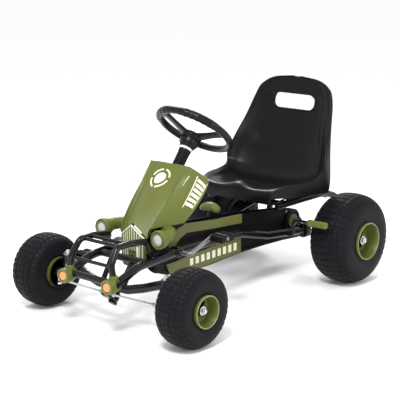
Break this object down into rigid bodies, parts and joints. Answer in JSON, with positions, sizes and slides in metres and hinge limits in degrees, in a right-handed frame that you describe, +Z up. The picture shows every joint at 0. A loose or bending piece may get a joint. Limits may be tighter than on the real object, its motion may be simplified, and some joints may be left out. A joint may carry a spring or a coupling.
{
  "type": "pedal go kart",
  "caption": "Child's pedal go kart: low tube frame, steering wheel on a sloped column, bucket seat, chain drive to the rear axle, tube bumper and balloon tyres.",
  "frame": {"origin": "on the ground, under the middle of the kart's length and width", "axes": "the kart faces -Y, its driver's left side is +X, and +Z is up"},
  "size_m": [0.662, 1, 0.596],
  "materials": {
    "olive_plastic": "satin",
    "dark_olive_plastic": "satin",
    "black_powder_coat": "gloss",
    "black_plastic": "satin",
    "tyre_rubber": "matt",
    "zinc_plate": "bright",
    "dark_steel": "oiled",
    "white_plastic": "satin",
    "headlight_lens": "gloss",
    "amber_lens": "gloss"
  },
  "bodies": {
    "chassis": {"guard_cap": "olive_plastic", "left_marker_lamp": "olive_plastic", "right_marker_lamp": "olive_plastic", "left_headlight": "olive_plastic", "right_headlight": "olive_plastic", "hood": "olive_plastic", "grille": "dark_olive_plastic", "left_axle_bracket": "black_powder_coat", "right_axle_bracket": "black_powder_coat", "left_side_rail": "black_powder_coat", "right_side_rail": "black_powder_coat", "left_seat_rail": "black_powder_coat", "right_seat_rail": "black_powder_coat", "front_cross_tube": "black_powder_coat", "centre_beam": "black_powder_coat", "seat_front_cross_bar": "black_powder_coat", "seat_rear_cross_bar": "black_powder_coat", "front_axle_beam": "black_powder_coat", "left_bumper_hoop": "black_powder_coat", "right_bumper_hoop": "black_powder_coat", "bumper_lower_bar": "black_powder_coat", "bumper_bar_1": "black_powder_coat", "bumper_bar_2": "black_powder_coat", "bumper_bar_3": "black_powder_coat", "chain_guard_cover": "black_plastic", "chain_guard_back": "black_plastic", "steering_column_tube": "black_plastic", "drive_chain": "dark_steel", "column_collar": "white_plastic", "left_headlight_lens": "headlight_lens", "right_headlight_lens": "headlight_lens", "left_marker_lens": "amber_lens", "right_marker_lens": "amber_lens"},
    "steering": {"steering_shaft": "zinc_plate", "steering_wheel": "black_plastic"},
    "left_track_rod": {"left_tie_rod": "zinc_plate"},
    "right_track_rod": {"right_tie_rod": "zinc_plate"},
    "left_steering_knuckle": {"left_knuckle": "zinc_plate"},
    "right_steering_knuckle": {"right_knuckle": "zinc_plate"},
    "left_front_wheel": {"left_front_tyre": "tyre_rubber", "left_front_rim": "olive_plastic"},
    "right_front_wheel": {"right_front_tyre": "tyre_rubber", "right_front_rim": "olive_plastic"},
    "rear_axle_and_wheels": {"rear_axle": "zinc_plate", "rear_sprocket": "dark_steel", "left_rear_tyre": "tyre_rubber", "left_rear_rim": "olive_plastic", "right_rear_tyre": "tyre_rubber", "right_rear_rim": "olive_plastic"},
    "crank": {"crankshaft": "zinc_plate", "chain_ring": "dark_steel"},
    "left_foot_pedal": {"left_pedal": "black_plastic"},
    "right_foot_pedal": {"right_pedal": "black_plastic"},
    "hand_brake": {"brake_lever": "black_powder_coat", "brake_grip": "olive_plastic"},
    "drive_lever": {"shift_lever": "black_powder_coat", "shift_grip": "olive_plastic"},
    "seat": {"seat_shell": "black_plastic", "seat_slider": "dark_steel"}
  },
  "joints": [
    {"name": "steering_turn", "type": "hinge", "parent": "chassis", "child": "steering", "pos_m": [0, -0.3835, 0.08], "axis": [0, 0.6225, 0.7826], "range_deg": [-17, 17]},
    {"name": "left_knuckle_turn", "type": "hinge", "parent": "chassis", "child": "left_steering_knuckle", "pos_m": [0.188, -0.381, 0.12], "axis": [0, 0, 1], "range_deg": [-17, 17]},
    {"name": "left_track_rod_swing", "type": "hinge", "parent": "steering", "child": "left_track_rod", "pos_m": [0.0075, -0.41384, 0.09647], "axis": [0, 0.6225, 0.7826], "range_deg": [-17, 17]},
    {"name": "left_front_wheel_spin", "type": "hinge", "parent": "left_steering_knuckle", "child": "left_front_wheel", "pos_m": [0.275, -0.381, 0.105], "axis": [1, 0, 0], "continuous": true},
    {"name": "right_knuckle_turn", "type": "hinge", "parent": "chassis", "child": "right_steering_knuckle", "pos_m": [-0.188, -0.381, 0.12], "axis": [0, 0, 1], "range_deg": [-17, 17]},
    {"name": "right_track_rod_swing", "type": "hinge", "parent": "steering", "child": "right_track_rod", "pos_m": [-0.0075, -0.41384, 0.09647], "axis": [0, 0.6225, 0.7826], "range_deg": [-17, 17]},
    {"name": "right_front_wheel_spin", "type": "hinge", "parent": "right_steering_knuckle", "child": "right_front_wheel", "pos_m": [-0.275, -0.381, 0.105], "axis": [1, 0, 0], "continuous": true},
    {"name": "rear_axle_spin", "type": "hinge", "parent": "chassis", "child": "rear_axle_and_wheels", "pos_m": [0, 0.364, 0.136], "axis": [1, 0, 0], "continuous": true},
    {"name": "crank_spin", "type": "hinge", "parent": "chassis", "child": "crank", "pos_m": [0, -0.234, 0.19], "axis": [1, 0, 0], "continuous": true},
    {"name": "left_pedal_spin", "type": "hinge", "parent": "crank", "child": "left_foot_pedal", "pos_m": [0.17425, -0.14064, 0.22584], "axis": [1, 0, 0], "continuous": true},
    {"name": "right_pedal_spin", "type": "hinge", "parent": "crank", "child": "right_foot_pedal", "pos_m": [-0.17425, -0.32736, 0.15416], "axis": [1, 0, 0], "continuous": true},
    {"name": "hand_brake_pull", "type": "hinge", "parent": "chassis", "child": "hand_brake", "pos_m": [0.12, 0.232, 0.15], "axis": [1, 0, 0], "range_deg": [-12, 25]},
    {"name": "drive_lever_shift", "type": "hinge", "parent": "chassis", "child": "drive_lever", "pos_m": [0, -0.006, 0.2166], "axis": [1, 0, 0], "range_deg": [-15, 15]},
    {"name": "seat_slide", "type": "slide", "parent": "chassis", "child": "seat", "axis": [0, 1, 0], "range_m": [-0.025, 0.025]}
  ],
  "couplings": [
    {"joint": "crank_spin", "follows": "rear_axle_spin", "ratio": 0.37},
    {"joint": "left_knuckle_turn", "follows": "steering_turn", "ratio": 1},
    {"joint": "left_track_rod_swing", "follows": "steering_turn", "ratio": -1},
    {"joint": "right_knuckle_turn", "follows": "steering_turn", "ratio": 1},
    {"joint": "right_track_rod_swing", "follows": "steering_turn", "ratio": -1}
  ]
}
